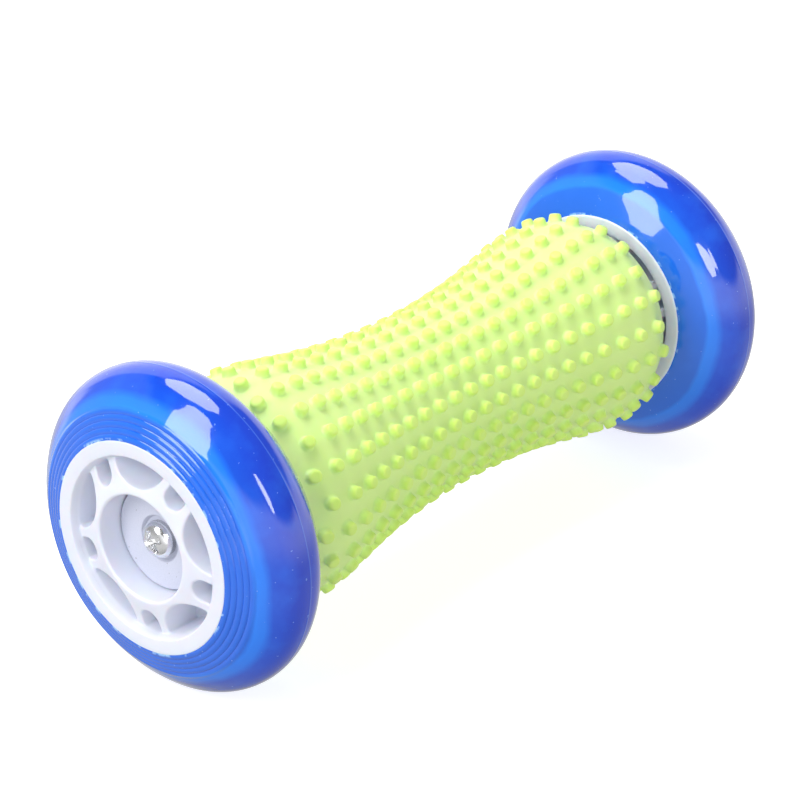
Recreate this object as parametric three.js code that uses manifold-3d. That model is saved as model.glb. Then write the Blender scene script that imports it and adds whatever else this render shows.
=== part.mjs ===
// Foot massage roller: a studded sleeve on a hollow waisted core, between two wheels that spin on stub axles.
// Millimetres. +X runs along the axle to the right wheel, +Z is up, and the origin is on the floor under the
// middle of the axle. Each end is built once, pointing to +X; the left end is the same end turned half round.

import * as THREE from "three";
import { mergeVertices } from "three/addons/utils/BufferGeometryUtils.js";
import Module from "manifold-3d";

const wasm = await Module();
wasm.setup();

// Driving dimensions
const TYRE_RADIUS = 35;
const WHEEL_CENTRE_X = 75.6;       // middle plane of a wheel, from the middle of the roller
const HUB_RADIUS = 22.8;
const HUB_HALF_WIDTH = 11.4;
const SEAT_RADIUS = 11.3;          // seat for a part of 22 mm diameter, the size of a skate bearing
const BUSH_RADIUS = 11.1;
const WAIST_RADIUS = 18.2;         // sleeve surface between the studs, at the waist
const WAIST_CURVE = 196;           // radius of the hollow curve of the waist
const SHOULDER_CURVE = 40;         // radius of the round shoulder near each end
const SHOULDER_START_X = 44;       // where the hollow curve turns into the shoulder
const END_CURVE = 11;              // radius of the tighter curve from the top of the shoulder to the end
const STUD_HEIGHT = 1.9;
const SLEEVE_WALL = 2.0;
const SLEEVE_END_X = 60.5;
const CORE_WALL = 2.2;
const CORE_END_X = 60.1;
const COLLAR_END_X = 63.6;         // where the collar of the end cap stops the inner bush
const STUB_RADIUS = 6;
const STUB_END_X = 77.15;
const SCREW_RADIUS = 1.85;
const SCREW_HEAD_RADIUS = 3.9;
const SCREW_HEAD_HEIGHT = 3.2;

// Clearances and fineness
const FIT_GAP = 0.15;              // between pieces that touch
const WHEEL_SEGMENTS = 40;         // sides of a tyre or hub
const BARREL_SEGMENTS = 36;        // sides of the sleeve, core or end cap
const SMALL_SEGMENTS = 24;         // sides of a bush, disc or screw
const LEFT_WHEEL_TURN = 21;        // degrees from the +Y side of the end to the middle of a large pocket
const RIGHT_WHEEL_TURN = 50;

const COLOURS = {
  sleeve: { color: 0xc6ea4e, roughness: 0.55, metalness: 0 },
  tyre: { color: 0x1f55dd, roughness: 0.15, metalness: 0 },
  whitePlastic: { color: 0xeceef4, roughness: 0.4, metalness: 0 },
  corePlastic: { color: 0xdfe2e6, roughness: 0.5, metalness: 0 },
  steel: { color: 0xc9ccd2, roughness: 0.2, metalness: 1 },
};

const radians = THREE.MathUtils.degToRad;

// Shapes ---------------------------------------------------------------------------------------------------

// A turned solid about the X axis from a closed outline of [x, radius] points. A flat side faces straight
// down.
function turned(outline, segments) {
  const points = outline.map(([x, radius]) => new THREE.Vector2(radius, x));
  if (outline[0][1] > 0) points.push(points[0].clone());
  const geometry = new THREE.LatheGeometry(points, segments, Math.PI / segments);
  return geometry.rotateZ(-Math.PI / 2);
}

// An outline in the plane of a wheel, as [y, z] points, pushed from one x to another.
function pushed(outline, fromX, toX) {
  const shape = new THREE.Shape(outline.map(([y, z]) => new THREE.Vector2(y, z)));
  const geometry = new THREE.ExtrudeGeometry(shape, { depth: toX - fromX, bevelEnabled: false });
  return geometry.rotateY(Math.PI / 2).rotateX(Math.PI / 2).translate(fromX, 0, 0);
}

function arc(centre, radius, fromDegrees, toDegrees, steps) {
  return Array.from({ length: steps + 1 }, (_, i) => {
    const angle = radians(THREE.MathUtils.lerp(fromDegrees, toDegrees, i / steps));
    return [centre + radius * Math.cos(angle), radius * Math.sin(angle)];
  });
}

function solid(geometry) {
  geometry.deleteAttribute("normal");
  geometry.deleteAttribute("uv");
  const merged = mergeVertices(geometry);
  return new wasm.Manifold(new wasm.Mesh({
    numProp: 3,
    vertProperties: merged.attributes.position.array,
    triVerts: new Uint32Array(merged.index.array),
  }));
}

function cutFrom(geometry, cutters) {
  const mesh = cutters.reduce((body, cutter) => body.subtract(solid(cutter)), solid(geometry)).getMesh();
  const result = new THREE.BufferGeometry();
  result.setAttribute("position", new THREE.BufferAttribute(mesh.vertProperties, 3));
  result.setIndex(new THREE.BufferAttribute(mesh.triVerts, 1));
  return result;
}

function piece(name, geometry, look) {
  const mesh = new THREE.Mesh(geometry, new THREE.MeshStandardMaterial(look));
  mesh.name = name;
  return mesh;
}

// Barrel ---------------------------------------------------------------------------------------------------

// Radius of the sleeve's surface between the studs: a hollow curve at the waist, then a round shoulder that
// turns down more tightly past its top.
function barrelRadius(x) {
  const along = Math.abs(x);
  if (along <= SHOULDER_START_X) return WAIST_RADIUS + along ** 2 / (2 * WAIST_CURVE);
  const joinRadius = WAIST_RADIUS + SHOULDER_START_X ** 2 / (2 * WAIST_CURVE);
  const riseLength = SHOULDER_START_X / WAIST_CURVE * SHOULDER_CURVE;
  const topRadius = joinRadius + riseLength ** 2 / (2 * SHOULDER_CURVE);
  const pastTop = along - SHOULDER_START_X - riseLength;
  return topRadius - pastTop ** 2 / (2 * (pastTop > 0 ? END_CURVE : SHOULDER_CURVE));
}

// Points along the barrel at a depth below that surface. The sleeve and the core share the stations between
// the two ends, so that their straight facets stay a constant distance apart.
function barrelCurve(fromX, toX, depth) {
  const stations = [12, 24, 36, 44, 50, 54, 57.5];
  const between = [...stations.map((x) => -x).reverse(), 0, ...stations]
    .filter((x) => x > Math.min(fromX, toX) && x < Math.max(fromX, toX));
  if (toX < fromX) between.reverse();
  return [fromX, ...between, toX].map((x) => [x, barrelRadius(x) - depth]);
}

// The sleeve as a plain tube. Its outside is the surface that the stud tops lie on.
function sleeve() {
  const edge = 1.2;
  const end = SLEEVE_END_X;
  const endRadius = barrelRadius(end) - 0.6;
  const outside = barrelCurve(-end + edge, end - edge, -STUD_HEIGHT);
  const inside = barrelCurve(end, -end, SLEEVE_WALL);
  return turned([[-end, endRadius], ...outside, [end, endRadius], ...inside], BARREL_SEGMENTS);
}

// Half of the hollow core. The half with a spigot plugs into the other half at the waist.
function coreHalf(hasSpigot) {
  const outerDepth = SLEEVE_WALL + FIT_GAP;
  const innerDepth = outerDepth + CORE_WALL;
  const jointX = FIT_GAP / 2;
  const spigotReach = 6;
  const spigotRadius = WAIST_RADIUS - innerDepth - FIT_GAP;
  const spigotBore = spigotRadius - 1.7;
  const outside = barrelCurve(jointX, CORE_END_X, outerDepth);
  const spigot = [
    [spigotReach, spigotBore], [-spigotReach, spigotBore],
    [-spigotReach, spigotRadius], [jointX, spigotRadius],
  ];
  if (!hasSpigot) {
    return turned([...outside, ...barrelCurve(CORE_END_X, jointX, innerDepth)], BARREL_SEGMENTS);
  }
  const inside = barrelCurve(CORE_END_X, spigotReach, innerDepth);
  return turned([...outside, ...inside, ...spigot], BARREL_SEGMENTS);
}

// Cap that closes the core, with a collar, a stub axle and a pilot hole for the screw.
function endCap() {
  const plugRadius = barrelRadius(CORE_END_X) - SLEEVE_WALL - CORE_WALL - 3 * FIT_GAP;
  const flangeRadius = plugRadius + 2.2;
  const flangeX = CORE_END_X + FIT_GAP;
  const flangeEndX = flangeX + 1.5;
  const plugStartX = flangeX - 3.2;
  const collarRadius = 9;
  const pilotRadius = SCREW_RADIUS + FIT_GAP;
  const pilotEndX = 60.6;
  return turned([
    [plugStartX, 0], [plugStartX, plugRadius], [flangeX, plugRadius], [flangeX, flangeRadius],
    [flangeEndX, flangeRadius], [flangeEndX, collarRadius], [COLLAR_END_X, collarRadius],
    [COLLAR_END_X, STUB_RADIUS], [STUB_END_X, STUB_RADIUS], [STUB_END_X, pilotRadius],
    [pilotEndX, pilotRadius], [pilotEndX, 0],
  ], BARREL_SEGMENTS);
}

// Wheel ----------------------------------------------------------------------------------------------------
// Wheel outlines are written from the wheel's middle plane.

const OUTER_SEAT_FLOOR = 1.4;
const INNER_SEAT_FLOOR = -4.4;
const BOSS_RADIUS = 12.3;
const RIM_WALL_RADIUS = 19.1;
const DISH_DEPTH = 1.85;           // how far the spokes drop from the boss to the rim wall
const RIB_RADIUS = 26;             // rib round the hub that holds the tyre
const RIB_HALF_WIDTH = 3;

// Round crown of the tyre's section, for a distance from the middle plane.
function crownRadius(offset) {
  const sectionBase = 22.4;
  const sectionHalfWidth = 9.2;
  const fullness = (1 - (offset / sectionHalfWidth) ** 2.2) ** 0.555;
  return sectionBase + (TYRE_RADIUS - sectionBase) * fullness;
}

function tyre() {
  const lipRadius = HUB_RADIUS + FIT_GAP;
  const grooveRadius = RIB_RADIUS + FIT_GAP;
  const grooveHalfWidth = RIB_HALF_WIDTH + FIT_GAP;
  const crown = [2.5, 4.1, 5.5].map((offset) => [offset, crownRadius(offset)]);
  const side = [[0.8, TYRE_RADIUS], ...crown, [7.3, 30.75], [8.75, 28.75], [11.1, lipRadius]];
  const mirrored = side.map(([x, radius]) => [-x, radius]).reverse();
  const bore = [
    [grooveHalfWidth, lipRadius], [grooveHalfWidth, grooveRadius],
    [-grooveHalfWidth, grooveRadius], [-grooveHalfWidth, lipRadius],
  ];
  const flatSideScale = 1 / Math.cos(Math.PI / WHEEL_SEGMENTS);
  const outline = [...mirrored, ...side].map(([x, radius]) => (
    [x, radius > lipRadius ? radius * flatSideScale : radius]
  ));
  return turned([...outline, ...bore], WHEEL_SEGMENTS);
}

function pocketOutlines() {
  const outerRadius = RIM_WALL_RADIUS + 0.2;
  const largeCentre = 20.9;
  const largeRadius = 7.5;
  const smallCentre = 16.8;
  const smallRadius = 2.3;
  const squares = outerRadius ** 2 + largeCentre ** 2 - largeRadius ** 2;
  const tip = Math.acos(squares / (2 * outerRadius * largeCentre));
  const tipDegrees = THREE.MathUtils.radToDeg(tip);
  const tipOnLarge = Math.atan2(outerRadius * Math.sin(tip), outerRadius * Math.cos(tip) - largeCentre);
  const fromDegrees = THREE.MathUtils.radToDeg(tipOnLarge);
  const smallTip = THREE.MathUtils.radToDeg(Math.asin(smallRadius / outerRadius));
  const large = [
    ...arc(0, outerRadius, -tipDegrees, tipDegrees, 4),
    ...arc(largeCentre, largeRadius, fromDegrees, 360 - fromDegrees, 6).slice(1, -1),
  ];
  const small = [
    ...arc(0, outerRadius, -smallTip, smallTip, 1),
    ...arc(smallCentre, smallRadius, 90, 270, 4),
  ];
  return { large, small };
}

function wheelHub(turnDegrees) {
  const width = HUB_HALF_WIDTH;
  const dish = HUB_HALF_WIDTH - DISH_DEPTH;
  const boreRadius = STUB_RADIUS + 1;
  const webHalfThickness = 1.9;
  const blank = turned([
    [INNER_SEAT_FLOOR, boreRadius], [INNER_SEAT_FLOOR, SEAT_RADIUS], [-width, SEAT_RADIUS],
    [-width, BOSS_RADIUS], [-dish, RIM_WALL_RADIUS], [-width, RIM_WALL_RADIUS],
    [-width, HUB_RADIUS], [-RIB_HALF_WIDTH, HUB_RADIUS],
    [-RIB_HALF_WIDTH, RIB_RADIUS], [RIB_HALF_WIDTH, RIB_RADIUS], [RIB_HALF_WIDTH, HUB_RADIUS],
    [width, HUB_RADIUS], [width, RIM_WALL_RADIUS], [dish, RIM_WALL_RADIUS], [width, BOSS_RADIUS],
    [width, SEAT_RADIUS], [OUTER_SEAT_FLOOR, SEAT_RADIUS], [OUTER_SEAT_FLOOR, boreRadius],
  ], WHEEL_SEGMENTS);
  const { large, small } = pocketOutlines();
  const cutters = [];
  for (let i = 0; i < 5; i += 1) {
    for (const [outline, offset] of [[large, 0], [small, 36]]) {
      const turn = radians(turnDegrees + 72 * i + offset);
      cutters.push(pushed(outline, webHalfThickness, width + 1).rotateX(turn));
      cutters.push(pushed(outline, -width - 1, -webHalfThickness).rotateX(turn));
    }
  }
  return cutFrom(blank, cutters);
}

// Disc in the outer seat, clamped to the end of the stub axle by the screw.
const DISC_BACK_X = STUB_END_X + FIT_GAP;
const DISC_FACE_X = 81.4;
const COUNTERBORE_FLOOR_X = 80.6;

function retainingDisc() {
  const edge = 0.4;
  const holeRadius = SCREW_RADIUS + 0.35;
  const counterboreRadius = 5.05;
  return turned([
    [DISC_BACK_X, holeRadius], [DISC_BACK_X, BUSH_RADIUS], [DISC_FACE_X - edge, BUSH_RADIUS],
    [DISC_FACE_X, BUSH_RADIUS - edge], [DISC_FACE_X, counterboreRadius],
    [COUNTERBORE_FLOOR_X, counterboreRadius], [COUNTERBORE_FLOOR_X, holeRadius],
  ], SMALL_SEGMENTS);
}

// Ring in the inner seat, between the stub axle and the hub.
function innerBush() {
  const boreRadius = STUB_RADIUS + FIT_GAP;
  const startX = COLLAR_END_X + FIT_GAP;
  const endX = WHEEL_CENTRE_X + INNER_SEAT_FLOOR - 2 * FIT_GAP;
  return turned(
    [[startX, boreRadius], [startX, BUSH_RADIUS], [endX, BUSH_RADIUS], [endX, boreRadius]],
    SMALL_SEGMENTS,
  );
}

// Pan-head self-tapping screw with a cross recess.
function screw() {
  const underHeadX = COUNTERBORE_FLOOR_X + FIT_GAP / 2;
  const headRadius = SCREW_HEAD_RADIUS;
  const headTopX = underHeadX + SCREW_HEAD_HEIGHT;
  const tipX = 61;
  const body = turned([
    [tipX, 0], [tipX + 2.2, SCREW_RADIUS], [underHeadX, SCREW_RADIUS], [underHeadX, headRadius],
    [underHeadX + 1.4, headRadius], [underHeadX + 2.3, headRadius - 0.6], [headTopX - 0.25, headRadius - 1.8],
    [headTopX, 0],
  ], SMALL_SEGMENTS);
  const slotDepth = 1.7;
  const slotLength = 4.4;
  const slotWidth = 1;
  const slotCentreX = headTopX + 1 - slotDepth / 2;
  const recess = [0, Math.PI / 2].map((turn) => (
    new THREE.BoxGeometry(slotDepth + 2, slotLength, slotWidth).translate(slotCentreX, 0, 0).rotateX(turn)
  ));
  return cutFrom(body, recess);
}

// Assembly -------------------------------------------------------------------------------------------------

function rollerEnd(side, wheelTurn, hasSpigot) {
  const end = new THREE.Group();
  const wheel = new THREE.Group();
  wheel.position.x = WHEEL_CENTRE_X;
  wheel.add(piece(`tyre_${side}`, tyre(), COLOURS.tyre));
  wheel.add(piece(`wheel_hub_${side}`, wheelHub(wheelTurn), COLOURS.whitePlastic));
  end.add(wheel);
  end.add(piece(`core_half_${side}`, coreHalf(hasSpigot), COLOURS.corePlastic));
  end.add(piece(`end_cap_${side}`, endCap(), COLOURS.corePlastic));
  end.add(piece(`inner_bush_${side}`, innerBush(), COLOURS.whitePlastic));
  end.add(piece(`retaining_disc_${side}`, retainingDisc(), COLOURS.whitePlastic));
  end.add(piece(`screw_${side}`, screw(), COLOURS.steel));
  return end;
}

const roller = new THREE.Group();
roller.position.z = TYRE_RADIUS;
roller.add(piece("massage_sleeve", sleeve(), COLOURS.sleeve));
roller.add(rollerEnd("right", RIGHT_WHEEL_TURN, true));
const leftEnd = rollerEnd("left", LEFT_WHEEL_TURN, false);
leftEnd.rotation.z = Math.PI;
roller.add(leftEnd);

export default roller;
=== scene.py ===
"""Foot massage roller: the visible pieces, their materials and a plain studio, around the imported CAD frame.

Lengths are in millimetres until a mesh is made. Every turned outline is a list of (x, radius) points about
the axle. The pieces of an end are written for the right end, and the left end is the same turned half round.
"""

import math
import random

import bmesh
import bpy
import numpy as np
from mathutils import Matrix, Vector
from mathutils.geometry import delaunay_2d_cdt


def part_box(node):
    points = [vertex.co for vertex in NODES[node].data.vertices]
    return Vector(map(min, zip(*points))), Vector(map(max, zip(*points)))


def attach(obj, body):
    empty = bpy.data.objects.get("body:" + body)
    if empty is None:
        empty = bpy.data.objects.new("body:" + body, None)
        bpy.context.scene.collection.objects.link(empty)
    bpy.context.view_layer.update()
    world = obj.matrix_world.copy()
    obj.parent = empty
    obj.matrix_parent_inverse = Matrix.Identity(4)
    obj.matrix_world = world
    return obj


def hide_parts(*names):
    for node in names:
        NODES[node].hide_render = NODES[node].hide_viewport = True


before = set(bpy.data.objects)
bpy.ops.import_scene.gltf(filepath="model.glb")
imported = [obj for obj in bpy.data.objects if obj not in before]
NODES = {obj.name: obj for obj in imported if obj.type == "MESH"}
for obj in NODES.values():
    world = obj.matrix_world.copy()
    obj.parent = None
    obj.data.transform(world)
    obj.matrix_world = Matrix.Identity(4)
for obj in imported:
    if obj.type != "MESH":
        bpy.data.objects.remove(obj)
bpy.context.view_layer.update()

MM = 0.001
SEED = 7


def size_of(node):
    """Lowest and highest corner of a CAD node, in millimetres."""
    low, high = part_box(node)
    return low / MM, high / MM


# Driving dimensions, from the frame -----------------------------------------------------------------------

_, tyre_high = size_of("tyre_right")
hub_low, hub_high = size_of("wheel_hub_right")
_, sleeve_high = size_of("massage_sleeve")
disc_low, disc_high = size_of("retaining_disc_right")
screw_low, screw_high = size_of("screw_right")
bush_low, bush_high = size_of("inner_bush_right")
cap_low, cap_high = size_of("end_cap_right")

AXLE_Z = (hub_low.z + hub_high.z) / 2
WHEEL_X = (hub_low.x + hub_high.x) / 2
TYRE_RADIUS = tyre_high.z - AXLE_Z
TYRE_HALF_WIDTH = tyre_high.x - WHEEL_X
HUB_HALF_WIDTH = hub_high.x - WHEEL_X
SLEEVE_END = sleeve_high.x
DISC_RADIUS = (disc_high.z - disc_low.z) / 2
BUSH_RADIUS = (bush_high.z - bush_low.z) / 2

# Sizes inside those boxes, the same as in the CAD model
HUB_RADIUS = 22.8
RIB_RADIUS = 26.0
RIB_HALF_WIDTH = 3.0
SEAT_RADIUS = 11.3
OUTER_SEAT_FLOOR = 1.4
INNER_SEAT_FLOOR = -4.4
HUB_BORE_RADIUS = 7.0
BOSS_RADIUS = 12.3
RIM_WALL_RADIUS = 19.1
DISH_DEPTH = 1.85
POCKET_DEPTH = 9.5
WAIST_RADIUS = 18.2
WAIST_CURVE = 196.0
SHOULDER_CURVE = 40.0
SHOULDER_START = 44.0
END_CURVE = 11.0
STUD_HEIGHT = 1.9
SLEEVE_WALL = 2.0
CORE_WALL = 2.2
CORE_END = 60.1
FIT_GAP = 0.15

ENDS = {"left": math.pi, "right": 0.0}
WHEEL_TURN = {"left": 21.0, "right": 50.0}     # degrees to the middle of a large pocket


# Meshes ---------------------------------------------------------------------------------------------------

def make_object(name, vertices, faces):
    """A smooth-shaded mesh object, from vertices in millimetres."""
    mesh = bpy.data.meshes.new(name)
    mesh.from_pydata([tuple(MM * c for c in v) for v in vertices], [], faces)
    mesh.validate()
    mesh.shade_smooth()
    piece = bpy.data.objects.new(name, mesh)
    bpy.context.scene.collection.objects.link(piece)
    return piece


def rounded(outline, steps=5):
    """A closed outline, where a point's third number, if any, is the radius of the arc that rounds it."""
    result = []
    for i, point in enumerate(outline):
        corner = Vector(point[:2])
        radius = point[2] if len(point) > 2 else 0
        if not radius:
            result.append(tuple(corner))
            continue
        before = (Vector(outline[i - 1][:2]) - corner).normalized()
        after = (Vector(outline[(i + 1) % len(outline)][:2]) - corner).normalized()
        half_angle = before.angle(after) / 2
        centre = corner + (before + after).normalized() * radius / math.sin(half_angle)
        start = corner + before * radius / math.tan(half_angle) - centre
        sweep = math.pi - 2 * half_angle
        if before.x * after.y - before.y * after.x > 0:
            sweep = -sweep
        for k in range(steps + 1):
            turn = Matrix.Rotation(sweep * k / steps, 2)
            result.append(tuple(centre + turn @ start))
    return result


ON_AXIS = 1e-9                # a radius below this is a point on the axle


def turned(name, outline, segments):
    """A solid turned about the X axis, from an outline that closes on itself or has both ends on the axis."""
    vertices, faces, rings = [], [], []
    for x, radius in outline:
        if radius <= ON_AXIS:
            rings.append([len(vertices)])
            vertices.append((x, 0, 0))
            continue
        rings.append(list(range(len(vertices), len(vertices) + segments)))
        for k in range(segments):
            angle = math.tau * k / segments
            vertices.append((x, radius * math.cos(angle), radius * math.sin(angle)))
    is_ring = outline[0][1] > ON_AXIS
    pairs = list(zip(rings, rings[1:] + rings[:1])) if is_ring else list(zip(rings, rings[1:]))
    for a, b in pairs:
        for k in range(segments):
            n = (k + 1) % segments
            if len(a) == 1:
                faces.append((a[0], b[n], b[k]))
            elif len(b) == 1:
                faces.append((a[k], a[n], b[0]))
            else:
                faces.append((a[k], a[n], b[n], b[k]))
    piece = make_object(name, vertices, faces)
    outward(piece)
    weigh_normals(piece)
    return piece


def outward(piece):
    """Turns every face of a closed mesh to point out."""
    bm = bmesh.new()
    bm.from_mesh(piece.data)
    bmesh.ops.recalc_face_normals(bm, faces=bm.faces)
    bm.to_mesh(piece.data)
    bm.free()


def weld(piece, distance=0.004):
    """Joins the vertices of a mesh that lie within a distance, in millimetres."""
    bm = bmesh.new()
    bm.from_mesh(piece.data)
    bmesh.ops.remove_doubles(bm, verts=bm.verts, dist=distance * MM)
    bm.to_mesh(piece.data)
    bm.free()


def weigh_normals(piece, sharp_degrees=50):
    """Keeps flat faces flat beside their rounded edges."""
    piece.data.set_sharp_from_angle(angle=math.radians(sharp_degrees))
    modifier = piece.modifiers.new("weighted normals", "WEIGHTED_NORMAL")
    modifier.keep_sharp = True


def place(piece, side, x=0.0):
    """Puts a piece that was written for the right end on that side of the roller."""
    turn = Matrix.Rotation(ENDS[side], 4, "Z")
    piece.matrix_world = Matrix.Translation((0, 0, AXLE_Z * MM)) @ turn @ Matrix.Translation((x * MM, 0, 0))
    return piece


# Sleeve ---------------------------------------------------------------------------------------------------

def barrel_radius(x):
    """Radius of the sleeve between its studs: a hollow waist, a round shoulder and a tighter end."""
    along = abs(x)
    if along <= SHOULDER_START:
        return WAIST_RADIUS + along ** 2 / (2 * WAIST_CURVE)
    join = WAIST_RADIUS + SHOULDER_START ** 2 / (2 * WAIST_CURVE)
    rise = SHOULDER_START / WAIST_CURVE * SHOULDER_CURVE
    past_top = along - SHOULDER_START - rise
    curve = END_CURVE if past_top > 0 else SHOULDER_CURVE
    return join + rise ** 2 / (2 * SHOULDER_CURVE) - past_top ** 2 / (2 * curve)


STUD_ROWS = 23
STUD_PITCH = 5.46
STUD_SHIFT = -0.75            # the whole pattern sits a little to the left of the middle
FIRST_ROW_DEGREES = 29.6      # of a long row, from +Z towards -Y
STUD_RADIUS = 1.46
END_STUD_X = {True: 57.2, False: 55.2}     # of the last stud of a long and of a short row
LAST_STUD_X = 58.5
END_EDGE = 0.4                # plain edge past the last cells
LONG_ROW_STUDS = 22
LINES_PER_PITCH = 4           # mesh lines round the barrel, for each step from stud to stud
LINES_EACH_WAY = 48           # enough to pass both ends
LINE_GAP = 0.35               # least distance from a line to the last one


def stud_row(row):
    """The middles of a row's studs along the axle, and the edges of the cells that they stand in."""
    is_long = row % 2 == 0
    count = LONG_ROW_STUDS if is_long else LONG_ROW_STUDS - 1
    last_line = SLEEVE_END - END_EDGE
    edges = [STUD_PITCH * (k - count / 2) + STUD_SHIFT for k in range(1, count)]
    studs = [STUD_PITCH * (k - (count - 1) / 2) + STUD_SHIFT for k in range(1, count - 1)]
    ends = [side * END_STUD_X[is_long] + STUD_SHIFT for side in (-1, 1)]
    studs = [max(ends[0], -LAST_STUD_X)] + studs + [min(ends[1], LAST_STUD_X)]
    return studs, [-last_line] + edges + [last_line]


def stud_profile():
    """(radius, height) from the foot, out of a soft fillet, to near the middle of the flat top."""
    edge = 0.5
    top = STUD_RADIUS - 0.08
    profile = [(STUD_RADIUS + 0.5, 0), (STUD_RADIUS + 0.28, 0.07), (STUD_RADIUS + 0.12, 0.24),
               (STUD_RADIUS + 0.04, 0.55), (STUD_RADIUS - 0.01, 1.1)]
    for k in range(5):
        angle = math.radians(22.5 * k)
        profile.append((top - edge + edge * math.cos(angle), STUD_HEIGHT - edge + edge * math.sin(angle)))
    return profile + [(STUD_RADIUS * 0.4, STUD_HEIGHT + 0.03)]


def on_barrel(x, angle):
    """A point of the sleeve's surface at an angle from +Z towards -Y, and the way out of it."""
    slope = (barrel_radius(x + 0.1) - barrel_radius(x - 0.1)) / 0.2
    out = Vector((0, -math.sin(angle), math.cos(angle)))
    up = (out - Vector((slope, 0, 0))).normalized()
    return Vector((x, 0, 0)) + out * barrel_radius(x), up


def studded_sleeve():
    """One skin: a cell with a stud in its middle, for each stud, and the plain ends and inside."""
    rng = random.Random(SEED)
    half_row = math.pi / STUD_ROWS
    last_line = SLEEVE_END - END_EDGE
    numbers = range(-LINES_EACH_WAY, LINES_EACH_WAY + 1)
    lines = [STUD_PITCH / LINES_PER_PITCH * k + STUD_SHIFT for k in numbers]
    lines = [-last_line] + [x for x in lines if abs(x) < last_line - LINE_GAP] + [last_line]
    profile = stud_profile()
    vertices, faces = [], []
    for row in range(STUD_ROWS):
        middle_angle = math.radians(FIRST_ROW_DEGREES) + 2 * half_row * row
        angles = [middle_angle + half_row * t for t in (-1, -0.5, 0, 0.5, 1)]
        studs, edges = stud_row(row)
        for x, start, end in zip(studs, edges, edges[1:]):
            across = [line for line in lines if start - 0.01 < line < end + 0.01]
            loop = [(line, angles[0]) for line in across[:-1]] + [(across[-1], a) for a in angles[:-1]]
            loop += [(line, angles[-1]) for line in across[:0:-1]] + [(across[0], a) for a in angles[:0:-1]]
            radius = barrel_radius(x)
            wide = 1 + rng.uniform(-0.03, 0.03)
            tall = 1 + rng.uniform(-0.04, 0.0)
            up = on_barrel(x, middle_angle)[1]
            first, count = len(vertices), len(loop)
            vertices.extend(tuple(on_barrel(*point)[0]) for point in loop)
            for ring, (reach, height) in enumerate(profile):
                limit = last_line - 0.015 * (ring + 1)
                for line, angle in loop:
                    turn = math.atan2((angle - middle_angle) * radius, line - x)
                    foot_x = max(-limit, min(limit, x + reach * wide * math.cos(turn)))
                    foot, _ = on_barrel(foot_x, middle_angle + reach * wide * math.sin(turn) / radius)
                    vertices.append(tuple(foot + up * height * tall))
            for ring in range(len(profile)):
                a, b = first + ring * count, first + (ring + 1) * count
                faces += [(a + k, a + (k + 1) % count, b + (k + 1) % count, b + k) for k in range(count)]
            faces.append(tuple(range(first + len(profile) * count, len(vertices))))

    end = SLEEVE_END
    outside = [(last_line, barrel_radius(last_line)), (end, barrel_radius(end), 0.3)]
    mouth = (end, barrel_radius(end) - SLEEVE_WALL, 0.3)
    inside = [(-x, barrel_radius(x) - SLEEVE_WALL) for x in np.linspace(-last_line, last_line, 60)]
    mirrored = [(-x, *rest) for x, *rest in [mouth] + outside[::-1]]
    outline = rounded(outside + [mouth] + inside + mirrored)
    segments = 4 * STUD_ROWS
    first = len(vertices)
    for x, radius in outline:
        for k in range(segments):
            angle = math.radians(FIRST_ROW_DEGREES) + half_row * (k / 2 - 1)
            vertices.append((x, -radius * math.sin(angle), radius * math.cos(angle)))
    for ring in range(len(outline) - 1):
        a, b = first + ring * segments, first + (ring + 1) * segments
        faces += [(a + k, a + (k + 1) % segments, b + (k + 1) % segments, b + k) for k in range(segments)]
    sleeve = make_object("studded_sleeve", vertices, faces)
    weld(sleeve)
    outward(sleeve)
    weigh_normals(sleeve, 80)
    sleeve.matrix_world = Matrix.Translation((0, 0, AXLE_Z * MM))
    return sleeve


# Hub ------------------------------------------------------------------------------------------------------

FACE_SEGMENTS = 240
LARGE_CENTRE, LARGE_RADIUS = 20.9, 7.8
SMALL_CENTRE, SMALL_RADIUS = 16.4, 2.35
POCKET_OUTER_RADIUS = RIM_WALL_RADIUS - 0.25
TIP_RADIUS = 0.7              # rounding of a pocket's corners in the plane of the face
EDGE_ROUND = 0.5              # rounding over the edge of a pocket
FLOOR_ROUND = 0.6
WALL_DRAFT = 0.45             # how far a pocket's wall leans in on its way down
POCKET_COUNT = 5              # of each size
POCKET_STEP = 72              # degrees from one pocket to the next of its size
SMALL_POCKET_OFFSET = 36      # degrees from a large pocket to the small one beside it
SEAT_EDGE = 0.6               # width of the rounded edge of the hub's seat
SEAT_LIP = 0.5                # drop of that edge
RIM_RISE = 0.95               # width of the rise from the dish to the rim


def arc_points(centre, radius, start, end, steps):
    """Points along an arc, from a start angle to an end angle in degrees."""
    angles = np.radians(np.linspace(start, end, steps + 1))
    return [(centre[0] + radius * math.cos(a), centre[1] + radius * math.sin(a)) for a in angles]


def large_pocket(inset):
    """Outline of a large pocket, drawn in by inset: a circle cut by the rim wall, with rounded corners."""
    tip = max(TIP_RADIUS - inset, 0.08)
    outer, inner = POCKET_OUTER_RADIUS - inset, LARGE_RADIUS - inset
    a, b = outer - tip, inner - tip
    polar = math.acos((LARGE_CENTRE ** 2 + a ** 2 - b ** 2) / (2 * LARGE_CENTRE * a))
    centre = (a * math.cos(polar), a * math.sin(polar))
    polar = math.degrees(polar)
    away = math.degrees(math.atan2(centre[1], centre[0] - LARGE_CENTRE))
    mirrored = (centre[0], -centre[1])
    return (arc_points((0, 0), outer, -polar, polar, 40)[:-1] + arc_points(centre, tip, polar, away, 8)[:-1]
            + arc_points((LARGE_CENTRE, 0), inner, away, 360 - away, 56)[:-1]
            + arc_points(mirrored, tip, -away, -polar, 8)[:-1])


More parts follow.
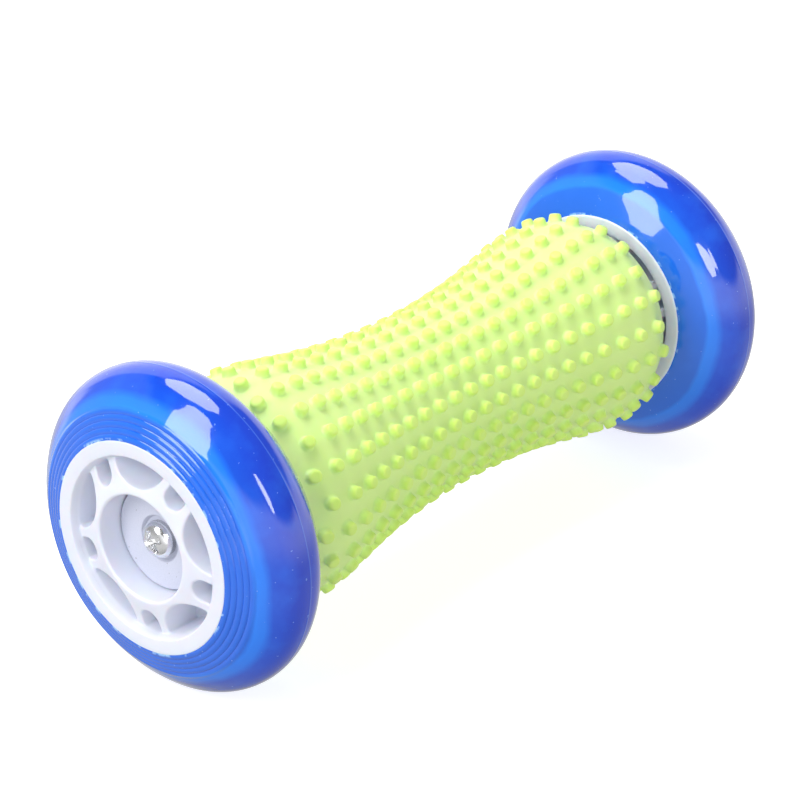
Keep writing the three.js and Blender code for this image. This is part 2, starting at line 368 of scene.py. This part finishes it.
def small_pocket(inset):
    """Outline of a small pocket: a round end, and straight sides out to the rim wall."""
    tip = max(TIP_RADIUS - inset, 0.08)
    outer, half = POCKET_OUTER_RADIUS - inset, SMALL_RADIUS - inset
    rise = half - tip
    centre = (math.sqrt((outer - tip) ** 2 - rise ** 2), rise)
    polar = math.degrees(math.atan2(centre[1], centre[0]))
    mirrored = (centre[0], -rise)
    return (arc_points((0, 0), outer, -polar, polar, 10)[:-1] + arc_points(centre, tip, polar, 90, 8)
            + arc_points((SMALL_CENTRE, 0), half, 90, 270, 24)
            + arc_points(mirrored, tip, -90, -polar, 8)[:-1])


def turn_points(points, degrees):
    c, s = math.cos(math.radians(degrees)), math.sin(math.radians(degrees))
    return [(x * c - y * s, x * s + y * c) for x, y in points]


def outline_distance(points, outline):
    """Distance from points to a closed outline, negative inside it."""
    a = np.array(outline)
    b = np.roll(a, -1, axis=0)
    edge = b - a
    reach = points[:, None, :] - a[None]
    t = np.clip((reach * edge).sum(2) / (edge ** 2).sum(1), 0, 1)
    distance = np.linalg.norm(reach - t[..., None] * edge, axis=2).min(1)
    y, ay, by = points[:, None, 1], a[:, 1], b[:, 1]
    spans = (ay > y) != (by > y)
    cross_x = a[:, 0] + (y - ay) * edge[:, 0] / np.where(edge[:, 1] == 0, 1, edge[:, 1])
    inside = (spans & (points[:, None, 0] < cross_x)).sum(1) % 2 == 1
    return np.where(inside, -distance, distance)


def blend_down(t):
    """0 to 1 along a quarter circle that starts flat."""
    t = np.clip(t, 0, 1)
    return 1 - np.sqrt(1 - t ** 2)


def plate_height(r):
    """Height of the hub's face, from the rim's flat, without its pockets."""
    run = (r - BOSS_RADIUS + 0.5) / (RIM_WALL_RADIUS - BOSS_RADIUS + 0.5)
    dish = -DISH_DEPTH * np.clip(run, 0, 1) ** 1.25
    rise = np.clip((r - RIM_WALL_RADIUS + 0.3) / RIM_RISE, 0, 1)
    rim = rise ** 2 * (3 - 2 * rise)
    seat_lip = -SEAT_LIP * blend_down((SEAT_RADIUS + SEAT_EDGE - r) / SEAT_EDGE)
    outer_edge = -0.3 * blend_down((r - HUB_RADIUS + 0.3) / 0.3)
    return dish * (1 - rim) + seat_lip + outer_edge


def pocket_drop(distance):
    """Share of a pocket's depth at a distance outside its edge: rounded edge, leaning wall, rounded floor."""
    edge = EDGE_ROUND * blend_down((EDGE_ROUND - distance) / EDGE_ROUND) / POCKET_DEPTH
    wall = np.clip(-distance / WALL_DRAFT, 0, 1)
    floor = 1 - FLOOR_ROUND / POCKET_DEPTH
    run = np.clip((-distance - WALL_DRAFT) / FLOOR_ROUND, 0, 1)
    drop = edge + (floor - EDGE_ROUND / POCKET_DEPTH) * wall
    return drop + (1 - floor) * np.sqrt(1 - (1 - run) ** 2)


def face_height(points):
    """Height of the hub's face at points in its plane, with a large pocket centred on the first axis."""
    r = np.linalg.norm(points, axis=1)
    angle = np.degrees(np.arctan2(points[:, 1], points[:, 0]))
    plate = plate_height(r)
    height = plate.copy()
    for shape, offset in ((large_pocket(0), 0), (small_pocket(0), SMALL_POCKET_OFFSET)):
        near = np.radians((angle - offset + POCKET_STEP / 2) % POCKET_STEP - POCKET_STEP / 2)
        local = np.stack([r * np.cos(near), r * np.sin(near)], axis=1)
        drop = pocket_drop(outline_distance(local, shape))
        height -= drop * (POCKET_DEPTH + plate)
    return height


def hub_face():
    """One face of the hub as points (x from the rim's flat, y, z) and triangles."""
    radii = [SEAT_RADIUS + SEAT_EDGE * (1 - math.sin(math.radians(a))) for a in (90, 65, 40, 20, 0)]
    radii += list(np.linspace(BOSS_RADIUS, RIM_WALL_RADIUS - 0.4, 9))
    radii += [RIM_WALL_RADIUS - 0.3 + RIM_RISE * t for t in (0, 0.15, 0.3, 0.45, 0.6, 0.75, 0.88, 1)]
    radii += [21.2, HUB_RADIUS - 0.3, HUB_RADIUS - 0.2, HUB_RADIUS - 0.1, HUB_RADIUS - 0.03, HUB_RADIUS]
    points, edges = [], []

    def add_loop(loop):
        first = len(points)
        points.extend(loop)
        edges.extend((first + k, first + (k + 1) % len(loop)) for k in range(len(loop)))

    for radius in radii:
        add_loop(arc_points((0, 0), radius, 0, 360, FACE_SEGMENTS)[:-1])
    insets = [-EDGE_ROUND * s for s in (1, 0.75, 0.5, 0.28, 0.12)] + [0, WALL_DRAFT]
    insets += [WALL_DRAFT + FLOOR_ROUND * s for s in (0.1, 0.3, 0.6, 1)]
    for inset in insets:
        for shape, offset in ((large_pocket, 0), (small_pocket, SMALL_POCKET_OFFSET)):
            for k in range(POCKET_COUNT):
                add_loop(turn_points(shape(inset), offset + POCKET_STEP * k))
    flat, _, triangles, _, _, _ = delaunay_2d_cdt([Vector(p) for p in points], edges, [], 0, 1e-5)
    flat = np.array([tuple(p) for p in flat])
    kept = [t for t in triangles if np.linalg.norm(flat[list(t)].mean(0)) > SEAT_RADIUS - 0.01]
    heights = face_height(flat)
    return flat, heights, kept


def wheel_hub(side, face):
    """The hub: the same face on both sides, joined by the seats, the bore, the outside and the rib."""
    flat, heights, triangles = face
    c, s = math.cos(math.radians(WHEEL_TURN[side])), math.sin(math.radians(WHEEL_TURN[side]))
    vertices, faces = [], []
    for facing in (1, -1):
        first = len(vertices)
        for (a, b), h in zip(flat, heights):
            vertices.append((facing * (HUB_HALF_WIDTH + h), a * c - b * s, a * s + b * c))
        faces += [tuple(first + i for i in t) for t in triangles]
    width, rib = HUB_HALF_WIDTH, RIB_HALF_WIDTH
    walls = [
        [(width - SEAT_LIP, SEAT_RADIUS), (OUTER_SEAT_FLOOR, SEAT_RADIUS),
         (OUTER_SEAT_FLOOR, HUB_BORE_RADIUS), (INNER_SEAT_FLOOR, HUB_BORE_RADIUS),
         (INNER_SEAT_FLOOR, SEAT_RADIUS), (SEAT_LIP - width, SEAT_RADIUS)],
        [(width - 0.3, HUB_RADIUS), (rib, HUB_RADIUS), (rib - 0.6, RIB_RADIUS - 0.2),
         (rib - 1.0, RIB_RADIUS), (1.0 - rib, RIB_RADIUS), (0.6 - rib, RIB_RADIUS - 0.2),
         (-rib, HUB_RADIUS), (0.3 - width, HUB_RADIUS)],
    ]
    for wall in walls:
        first = len(vertices)
        for x, radius in wall:
            for k in range(FACE_SEGMENTS):
                angle = math.tau * k / FACE_SEGMENTS + math.radians(WHEEL_TURN[side])
                vertices.append((x, radius * math.cos(angle), radius * math.sin(angle)))
        for ring in range(len(wall) - 1):
            a, b = first + ring * FACE_SEGMENTS, first + (ring + 1) * FACE_SEGMENTS
            for k in range(FACE_SEGMENTS):
                n = (k + 1) % FACE_SEGMENTS
                faces.append((a + k, a + n, b + n, b + k))
    hub = make_object("hub_moulding_" + side, vertices, faces)
    weld(hub)
    outward(hub)
    weigh_normals(hub)
    return place(hub, side, WHEEL_X)


# Tyre -----------------------------------------------------------------------------------------------------

CREASE_X, CREASE_RADIUS = 8.75, 28.75
TERRACES = 5
CROWN_BASE, CROWN_HALF_WIDTH = 22.4, 9.2
CROWN_FLATNESS, CROWN_FULLNESS = 2.2, 0.555    # powers that shape the round section


def crown_radius(offset):
    """Radius of the tyre's round section, at a distance from the wheel's middle plane."""
    share = 1 - (abs(offset) / CROWN_HALF_WIDTH) ** CROWN_FLATNESS
    return CROWN_BASE + (TYRE_RADIUS - CROWN_BASE) * share ** CROWN_FULLNESS


def crown():
    """From the middle plane down to the crease, past the fine parting line round the middle."""
    line = [(0, TYRE_RADIUS + 0.03), (0.12, TYRE_RADIUS + 0.02), (0.22, crown_radius(0.22) - 0.01)]
    return line + [(x, crown_radius(x)) for x in (0.5, 1, 1.6, 2.2, 2.8, 3.4, 4, 4.6, 5.1, 5.5)]


def shoulder():
    """From the foot of the crown in to the crease."""
    return [(6.4, 31.75), (7.2, 30.85), (8.0, 29.85), (8.5, 29.2)]


def terraced_side():
    """The outer side wall, in rounded terraces from the crease down to the hub's edge."""
    start = Vector((CREASE_X, CREASE_RADIUS))
    end = Vector((TYRE_HALF_WIDTH + 0.2, HUB_RADIUS - 0.1))
    step = (end - start) / TERRACES
    out = Vector((-step.y, step.x)).normalized()
    if out.x < 0:
        out = -out
    points = [tuple(start)]
    for k in range(TERRACES):
        for t, rise in ((0.1, 0.1), (0.25, 0.17), (0.5, 0.2), (0.75, 0.14), (0.92, 0.03), (1.0, -0.04)):
            points.append(tuple(start + step * (k + t) + out * rise))
    return points


def plain_side():
    """The inner side wall, from the crease down to the hub's edge."""
    return [(CREASE_X, CREASE_RADIUS), (9.3, 27.6), (9.9, 26.2), (10.5, 24.6), (10.9, 23.5),
            (TYRE_HALF_WIDTH, HUB_RADIUS - 0.1)]


def tyre(side):
    outer = crown() + shoulder() + terraced_side()
    inner = crown()[1:] + shoulder() + plain_side()
    inside, groove, half = HUB_RADIUS - 0.15, RIB_RADIUS - 0.15, RIB_HALF_WIDTH - 0.15
    bore = [(half, inside), (half - 0.9, groove), (0.9 - half, groove), (-half, inside)]
    outline = [(-x, r) for x, r in reversed(inner)] + outer + bore
    return place(turned("tyre_moulding_" + side, outline, 320), side, WHEEL_X)


# Discs, bushes, caps and screws ---------------------------------------------------------------------------

COUNTERBORE_FLOOR = 80.6
COLLAR_END = 63.6


def retaining_disc(side):
    back, face, floor = disc_low.x, disc_high.x, COUNTERBORE_FLOOR
    hole, recess = 2.2, 5.05
    outline = rounded([
        (back, hole), (back, DISC_RADIUS, 0.3), (face, DISC_RADIUS, 0.35), (face, recess, 0.2),
        (floor, recess - 0.5, 0.2), (floor, hole),
    ])
    return place(turned("disc_turning_" + side, outline, 144), side)


def inner_bush(side):
    start, end, bore = bush_low.x, bush_high.x, 6.15
    outline = rounded([
        (start, bore, 0.3), (start, BUSH_RADIUS, 0.4), (end, BUSH_RADIUS, 0.4), (end, bore, 0.3),
    ])
    return place(turned("bush_turning_" + side, outline, 96), side)


def end_cap(side):
    """Plug, flange, collar and stub axle."""
    plug = barrel_radius(CORE_END) - SLEEVE_WALL - CORE_WALL - 3 * FIT_GAP
    flange, collar, stub, pilot = plug + 2.2, 9.0, 6.0, 2.0
    seat, end, pilot_end = CORE_END + FIT_GAP, cap_high.x, 60.6
    outline = [(cap_low.x, 0), (cap_low.x, plug, 0.4), (seat, plug), (seat, flange, 0.3),
               (seat + 1.5, flange, 0.3), (seat + 1.5, collar, 0.8), (COLLAR_END, collar, 0.3),
               (COLLAR_END, stub, 0.3), (end, stub, 0.4), (end, pilot, 0.2), (pilot_end, pilot),
               (pilot_end, 0)]
    return place(turned("cap_moulding_" + side, rounded(outline), 96), side)


SCREW_TURN = {"left": 28.0, "right": 61.0}


def screw(side):
    """Pan-head screw: a domed head with a tapered cross recess, and a threaded shank."""
    under, top, tip = COUNTERBORE_FLOOR + FIT_GAP / 2, screw_high.x, screw_low.x
    head, shank = 3.9, 1.85
    dome = [(top - 0.8 * (r / head) ** 2 - 0.9 * (r / head) ** 8, r) for r in np.linspace(head, 0, 16)]
    dome[-1] = (top, 0)
    thread = []
    pitch = 1.2
    for k in range(12):
        x = tip + 2.4 + pitch * k
        thread += [(x, shank - 0.3), (x + pitch / 2, shank)]
    outline = [(tip, 0)] + thread + [(under, shank - 0.2), (under, head - 0.1)] + dome
    piece = turned("screw_turning_" + side, outline, 72)
    for turn in (0, 90):
        cutter = recess_wing(top, SCREW_TURN[side] + turn)
        modifier = piece.modifiers.new("recess", "BOOLEAN")
        modifier.object = cutter
        modifier.operation = "DIFFERENCE"
        modifier.solver = "EXACT"
        bpy.context.view_layer.update()
        cut = bpy.data.meshes.new_from_object(piece.evaluated_get(bpy.context.evaluated_depsgraph_get()))
        piece.modifiers.clear()
        piece.data = cut
        bpy.data.objects.remove(cutter)
    weigh_normals(piece, 35)
    return place(piece, side)


def recess_wing(top, degrees):
    """One bar of the cross: wide at the head's surface and tapering to its floor."""
    wide, narrow, thick, depth = 2.9, 1.1, 0.7, 1.9
    corners = []
    for x, length, half in ((top + 0.4, wide + 0.15, thick + 0.05), (top - depth, narrow, thick * 0.7)):
        corners += [(x, -length, -half), (x, length, -half), (x, length, half), (x, -length, half)]
    faces = [(0, 1, 2, 3), (7, 6, 5, 4), (0, 4, 5, 1), (1, 5, 6, 2), (2, 6, 7, 3), (3, 7, 4, 0)]
    turn = Matrix.Rotation(math.radians(degrees), 3, "X")
    wing = make_object("recess_wing", [tuple(turn @ Vector(c)) for c in corners], faces)
    outward(wing)
    return wing


# Materials ------------------------------------------------------------------------------------------------

class Look:
    """A Principled material with a few procedural layers. Coordinates are the object's own, in metres."""

    def __init__(self, name, **sockets):
        self.material = bpy.data.materials.new(name)
        self.material.use_nodes = True
        self.tree = self.material.node_tree
        self.shader = self.tree.nodes["Principled BSDF"]
        self.coordinates = self.add("ShaderNodeTexCoord").outputs["Object"]
        for socket, value in sockets.items():
            self.shader.inputs[socket.replace("_", " ")].default_value = value

    def add(self, kind, **settings):
        node = self.tree.nodes.new(kind)
        for key, value in settings.items():
            setattr(node, key, value)
        return node

    def link(self, source, target):
        self.tree.links.new(source, target)

    def noise(self, scale, detail=3.0, roughness=0.5, stretch=None):
        node = self.add("ShaderNodeTexNoise")
        node.inputs["Scale"].default_value = scale
        node.inputs["Detail"].default_value = detail
        node.inputs["Roughness"].default_value = roughness
        source = self.coordinates
        if stretch:
            mapping = self.add("ShaderNodeMapping")
            mapping.inputs["Scale"].default_value = stretch
            self.link(source, mapping.inputs["Vector"])
            source = mapping.outputs["Vector"]
        self.link(source, node.inputs["Vector"])
        return node.outputs["Fac"]

    def spread(self, value, low, high, to_low=0.0, to_high=1.0):
        node = self.add("ShaderNodeMapRange")
        for socket, number in zip(("From Min", "From Max", "To Min", "To Max"), (low, high, to_low, to_high)):
            node.inputs[socket].default_value = number
        self.link(value, node.inputs["Value"])
        return node.outputs["Result"]

    def mix(self, factor, first, second):
        node = self.add("ShaderNodeMix", data_type="RGBA")
        self.link(factor, node.inputs[0])
        for socket, colour in ((node.inputs[6], first), (node.inputs[7], second)):
            if isinstance(colour, tuple):
                socket.default_value = (*colour, 1)
            else:
                self.link(colour, socket)
        return node.outputs[2]

    def colour(self, source):
        self.link(source, self.shader.inputs["Base Color"])

    def roughness(self, source):
        self.link(source, self.shader.inputs["Roughness"])

    def bump(self, height, distance, strength=1.0):
        """Adds a bump of that height, in metres, over any bump before it."""
        node = self.add("ShaderNodeBump")
        node.inputs["Distance"].default_value = distance
        node.inputs["Strength"].default_value = strength
        self.link(height, node.inputs["Height"])
        normal = self.shader.inputs["Normal"]
        if normal.is_linked:
            self.link(normal.links[0].from_socket, node.inputs["Normal"])
        self.link(node.outputs["Normal"], normal)

    def radius(self):
        """Distance from the axle, for a piece whose origin is on it."""
        split = self.add("ShaderNodeSeparateXYZ")
        join = self.add("ShaderNodeCombineXYZ")
        length = self.add("ShaderNodeVectorMath", operation="LENGTH")
        self.link(self.coordinates, split.inputs[0])
        self.link(split.outputs["Y"], join.inputs["Y"])
        self.link(split.outputs["Z"], join.inputs["Z"])
        self.link(join.outputs[0], length.inputs[0])
        return length.outputs["Value"]

    def distance_from_middle(self):
        """Distance from the middle plane of a wheel, for a piece whose origin is on it."""
        split = self.add("ShaderNodeSeparateXYZ")
        size = self.add("ShaderNodeMath", operation="ABSOLUTE")
        self.link(self.coordinates, split.inputs[0])
        self.link(split.outputs["X"], size.inputs[0])
        return size.outputs[0]


def height_over_barrel(look):
    """Height over the barrel's own surface, for a piece whose origin is the middle of its axis."""
    reach, rise = SLEEVE_END * MM, 10 * MM
    curve = look.add("ShaderNodeFloatCurve")
    points = curve.mapping.curves[0].points
    steps = 12
    for k in range(steps + 1):
        height = (barrel_radius(SLEEVE_END * k / steps) - WAIST_RADIUS) * MM / rise
        if k in (0, steps):
            points[0 if k == 0 else -1].location = (k / steps, height)
        else:
            points.new(k / steps, height)
    curve.mapping.update()
    look.link(look.spread(look.distance_from_middle(), 0, reach), curve.inputs["Value"])
    ground = look.spread(curve.outputs["Value"], 0, 1, WAIST_RADIUS * MM, WAIST_RADIUS * MM + rise)
    height = look.add("ShaderNodeMath", operation="SUBTRACT")
    look.link(look.radius(), height.inputs[0])
    look.link(ground, height.inputs[1])
    return height.outputs[0]


def rubber_look():
    look = Look("lime rubber", Roughness=0.5, IOR=1.45, Specular_IOR_Level=0.5, Subsurface_Weight=0.4,
                Subsurface_Scale=0.0012, Sheen_Weight=0.1, Sheen_Roughness=0.5)
    look.shader.inputs["Subsurface Radius"].default_value = (1.2, 1.5, 0.3)
    patches = look.spread(look.noise(60, 4), 0.35, 0.65)
    # The studs are painted darker and more saturated than the ground between them: painted shade on the
    # studs, a lit and a shaded copy of the same rubber.
    ground = look.mix(patches, (0.69, 0.93, 0.31), (0.72, 0.95, 0.34))
    studs = look.mix(patches, (0.665, 0.92, 0.20), (0.695, 0.94, 0.23))
    look.colour(look.mix(look.spread(height_over_barrel(look), 0.0003, 0.0015), ground, studs))
    look.roughness(look.spread(look.noise(900, 2), 0.3, 0.7, 0.45, 0.6))
    look.bump(look.noise(2600, 3), 0.00002, 0.5)
    return look.material


def white_plastic_look():
    look = Look("white plastic", Roughness=0.38, IOR=1.5, Specular_IOR_Level=0.4, Subsurface_Weight=0.25,
                Subsurface_Scale=0.0015)
    patches = look.spread(look.noise(90, 4), 0.3, 0.7)
    look.colour(look.mix(patches, (0.75, 0.78, 0.885), (0.79, 0.81, 0.905)))
    look.roughness(look.spread(look.noise(500, 3), 0.3, 0.7, 0.32, 0.48))
    look.bump(look.noise(700, 2), 0.00002, 0.4)
    return look.material


def grained_plastic_look():
    look = Look("grained white plastic", Roughness=0.5, IOR=1.5, Specular_IOR_Level=0.35)
    grain = look.noise(4200, 4)
    specks = look.spread(look.noise(1500, 1), 0.74, 0.78)
    base = look.mix(look.spread(grain, 0.3, 0.7), (0.58, 0.61, 0.73), (0.65, 0.67, 0.79))
    look.colour(look.mix(specks, base, (0.25, 0.26, 0.3)))
    look.roughness(look.spread(grain, 0.3, 0.7, 0.45, 0.62))
    look.bump(grain, 0.00003, 0.6)
    return look.material


def core_plastic_look():
    look = Look("core plastic", Roughness=0.45, IOR=1.5, Specular_IOR_Level=0.4)
    look.colour(look.mix(look.noise(150, 4), (0.68, 0.70, 0.74), (0.76, 0.78, 0.82)))
    look.roughness(look.spread(look.noise(700, 3), 0.3, 0.7, 0.4, 0.55))
    look.bump(look.noise(1200, 2), 0.00002, 0.4)
    return look.material


def chrome_look():
    look = Look("plated steel", Metallic=1.0, Roughness=0.16)
    look.colour(look.mix(look.noise(800, 4), (0.80, 0.81, 0.83), (0.92, 0.92, 0.93)))
    look.roughness(look.spread(look.noise(1600, 4), 0.3, 0.7, 0.1, 0.26))
    look.bump(look.noise(1400, 3), 0.00004, 0.6)
    return look.material


def tyre_look():
    """Glossy blue, with a painted glow of light through the translucent plastic as a lighter band at the foot
    of the crown, a fine parting line and small flaws.
    """
    look = Look("blue tyre", Roughness=0.12, IOR=1.5, Specular_IOR_Level=0.15, Coat_Weight=1.0, Coat_IOR=1.6,
                Coat_Roughness=0.02)
    radius = look.radius()
    wander = look.spread(look.noise(45, 3), 0.3, 0.7, -0.0007, 0.0007)
    uneven = look.add("ShaderNodeMath", operation="ADD")
    look.link(radius, uneven.inputs[0])
    look.link(wander, uneven.inputs[1])
    ramp = look.add("ShaderNodeValToRGB")
    look.link(look.spread(uneven.outputs[0], 0.022, 0.036), ramp.inputs[0])
    stops = ramp.color_ramp
    stops.elements[0].position, stops.elements[0].color = 0.44, (0.012, 0.14, 0.74, 1)
    stops.elements[1].position, stops.elements[1].color = 0.93, (0.006, 0.048, 0.57, 1)
    # The lighter band at the foot of the crown is painted light: the glow of light passing through the
    # translucent tyre, put into the base colour.
    painted_glow_band = ((0.50, (0.015, 0.22, 0.94)), (0.59, (0.014, 0.20, 0.90)), (0.68, (0.008, 0.085, 0.66)))
    for position, colour in painted_glow_band:
        stops.elements.new(position).color = (*colour, 1)
    clouds = look.spread(look.noise(160, 4), 0.45, 0.75, 0.0, 0.35)
    cloudy = look.mix(clouds, ramp.outputs[0], (0.02, 0.17, 0.86))
    specks = look.spread(look.noise(1300, 1), 0.76, 0.79, 0.0, 0.5)
    specked = look.mix(specks, cloudy, (0.25, 0.45, 0.95))
    parting_line = look.spread(look.distance_from_middle(), 0.00006, 0.00018, 0.3, 0.0)
    lined = look.mix(parting_line, specked, (0.14, 0.34, 0.95))
    flash = look.add("ShaderNodeMath", operation="MULTIPLY")
    look.link(look.spread(radius, 0.0229, 0.0234, 1.0, 0.0), flash.inputs[0])
    look.link(look.spread(look.noise(420, 3), 0.55, 0.63, 0.0, 0.8), flash.inputs[1])
    look.colour(look.mix(flash.outputs[0], lined, (0.42, 0.72, 1.0)))
    look.roughness(look.spread(look.noise(300, 4), 0.3, 0.7, 0.08, 0.2))
    look.bump(look.noise(110, 2), 0.0001, 0.25)
    return look.material


# Studio ---------------------------------------------------------------------------------------------------

CAMERA_AZIMUTH, CAMERA_ELEVATION = -49.935, 26.013     # degrees
CAMERA_DISTANCE = 604.26
CAMERA_LENS = 125.92
TARGET_X, TARGET_OVER_AXLE = -7.396, 2.929
SOFTBOX_DISTANCE = 1500


def add_camera():
    azimuth, elevation = math.radians(CAMERA_AZIMUTH), math.radians(CAMERA_ELEVATION)
    target = Vector((TARGET_X, 0, AXLE_Z + TARGET_OVER_AXLE))
    back = Vector((math.sin(azimuth) * math.cos(elevation), -math.cos(azimuth) * math.cos(elevation),
                   math.sin(elevation)))
    camera = bpy.data.objects.new("camera", bpy.data.cameras.new("camera"))
    camera.data.sensor_width = 36
    camera.data.lens = CAMERA_LENS
    camera.data.clip_start = 0.01
    camera.data.clip_end = 50
    camera.location = (target + back * CAMERA_DISTANCE) * MM
    camera.rotation_euler = back.to_track_quat("Z", "Y").to_euler()
    bpy.context.scene.collection.objects.link(camera)
    bpy.context.scene.camera = camera


def emission_material(name, colour, strength):
    material = bpy.data.materials.new(name)
    material.use_nodes = True
    tree = material.node_tree
    tree.nodes.clear()
    emission = tree.nodes.new("ShaderNodeEmission")
    emission.inputs["Color"].default_value = (*colour, 1)
    emission.inputs["Strength"].default_value = strength
    output = tree.nodes.new("ShaderNodeOutputMaterial")
    tree.links.new(emission.outputs[0], output.inputs["Surface"])
    return material


def softbox(name, direction, width, height, strength, roll=0.0, sides=8):
    """A flat lamp that faces the roller and that the camera doesn't see. The roll is in degrees."""
    corners = []
    for k in range(sides):
        angle = math.tau * (k + 0.5) / sides
        corners.append((width / 2 * math.cos(angle), height / 2 * math.sin(angle), 0))
    lamp = make_object(name, corners, [tuple(range(sides))])
    direction = Vector(direction).normalized()
    lamp.location = (direction * SOFTBOX_DISTANCE + Vector((0, 0, AXLE_Z))) * MM
    turned_by = Matrix.Rotation(math.radians(roll), 3, "Z")
    lamp.rotation_euler = (direction.to_track_quat("Z", "Y").to_matrix() @ turned_by).to_euler()
    lamp.data.materials.append(emission_material(name, (1, 1, 1), strength))
    lamp.visible_camera = False


def floor_material():
    material = bpy.data.materials.new("white floor")
    material.use_nodes = True
    shader = material.node_tree.nodes["Principled BSDF"]
    shader.inputs["Base Color"].default_value = (0.6, 0.6, 0.6, 1)
    shader.inputs["Roughness"].default_value = 0.9
    shader.inputs["Specular IOR Level"].default_value = 0.1
    shader.inputs["Emission Color"].default_value = (1, 1, 1, 1)
    shader.inputs["Emission Strength"].default_value = 0.75
    return material


def studio_world():
    """A room with a dark ceiling, a bright front wall, a pale floor and a bright backdrop behind it."""
    world = bpy.data.worlds.new("studio")
    world.use_nodes = True
    tree = world.node_tree
    direction = tree.nodes.new("ShaderNodeTexCoord").outputs["Generated"]

    def along(axis, stops):
        """Strength by how far the direction leans along an axis: two leans, then the strength at each."""
        lean = tree.nodes.new("ShaderNodeVectorMath")
        lean.operation = "DOT_PRODUCT"
        lean.inputs[1].default_value = axis
        tree.links.new(direction, lean.inputs[0])
        ramp = tree.nodes.new("ShaderNodeMapRange")
        ramp.interpolation_type = "SMOOTHSTEP"
        for socket, value in zip(("From Min", "From Max", "To Min", "To Max"), stops):
            ramp.inputs[socket].default_value = value
        tree.links.new(lean.outputs["Value"], ramp.inputs["Value"])
        return ramp.outputs["Result"]

    def product(first, *others):
        """Strengths multiplied together."""
        for other in others:
            node = tree.nodes.new("ShaderNodeMath")
            node.operation = "MULTIPLY"
            tree.links.new(first, node.inputs[0])
            tree.links.new(other, node.inputs[1])
            first = node.outputs[0]
        return first

    def toward(share, first, strength):
        """The first strength, moved by a share of the way toward another."""
        node = tree.nodes.new("ShaderNodeMix")
        node.inputs["B"].default_value = strength
        tree.links.new(share, node.inputs["Factor"])
        tree.links.new(first, node.inputs["A"])
        return node.outputs["Result"]

    walls = product(along((0, -0.27, 1), (0.36, 0.52, 1.08, 0.18)),
                    along((0.3, -0.95, 0), (-1.0, 1.0, 0.35, 1.6)))
    ground = along((0, 0, 1), (-0.35, 0.0, 1.0, 0.0))
    backdrop = product(along((1, 0, 0), (0.02, 0.12, 0.0, 1.0)), along((0, 1, 0), (0.08, 0.22, 0.0, 1.0)),
                       along((0, 0, 1), (0.74, 0.84, 1.0, 0.0)), along((0, 0, 1), (-0.35, -0.1, 0.0, 1.0)))
    below = along((0, 0, 1), (-0.95, -0.5, 1.0, 0.0))
    strength = toward(backdrop, toward(below, toward(ground, walls, 0.68), 0.4), 1.15)
    tree.links.new(strength, tree.nodes["Background"].inputs["Strength"])
    tree.nodes["Background"].inputs["Color"].default_value = (1, 1, 1, 1)
    return world


def build_studio():
    half = 4000
    corners = [(-half, -half, 0), (half, -half, 0), (half, half, 0), (-half, half, 0)]
    floor = make_object("floor", corners, [(0, 1, 2, 3)])
    floor.data.materials.append(floor_material())
    floor.visible_diffuse = False
    floor.visible_glossy = False
    bpy.context.scene.world = studio_world()
    softbox("top_softbox", (-0.06, 0.29, 0.95), 1150, 1150, 6.5)
    softbox("left_softbox", (-0.8, 0.2, 0.565), 745, 1360, 6.6)
    softbox("front_strip", (-0.595, -0.685, 0.42), 240, 660, 9.0, roll=26.5)
    bpy.context.scene.view_settings.view_transform = "Standard"


# Assembly -------------------------------------------------------------------------------------------------

def finish_piece(piece, material, body, slot, *nodes):
    piece.data.materials.clear()
    piece.data.materials.append(material)
    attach(piece, body)
    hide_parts(*nodes)


def build_roller():
    rubber, white, grained = rubber_look(), white_plastic_look(), grained_plastic_look()
    core, chrome, blue = core_plastic_look(), chrome_look(), tyre_look()
    finish_piece(studded_sleeve(), rubber, "core", "sleeve", "massage_sleeve")
    face = hub_face()
    for side in ENDS:
        wheel = side + "_wheel"
        finish_piece(tyre(side), blue, wheel, "tyre", "tyre_" + side)
        finish_piece(wheel_hub(side, face), white, wheel, "hub", "wheel_hub_" + side)
        finish_piece(retaining_disc(side), grained, "core", "disc", "retaining_disc_" + side)
        finish_piece(inner_bush(side), white, "core", "bush", "inner_bush_" + side)
        finish_piece(end_cap(side), core, "core", "cap", "end_cap_" + side)
        finish_piece(screw(side), chrome, "core", "screw", "screw_" + side)
        half = NODES["core_half_" + side]
        half.data.materials.clear()
        half.data.materials.append(core)


add_camera()
build_studio()
build_roller()
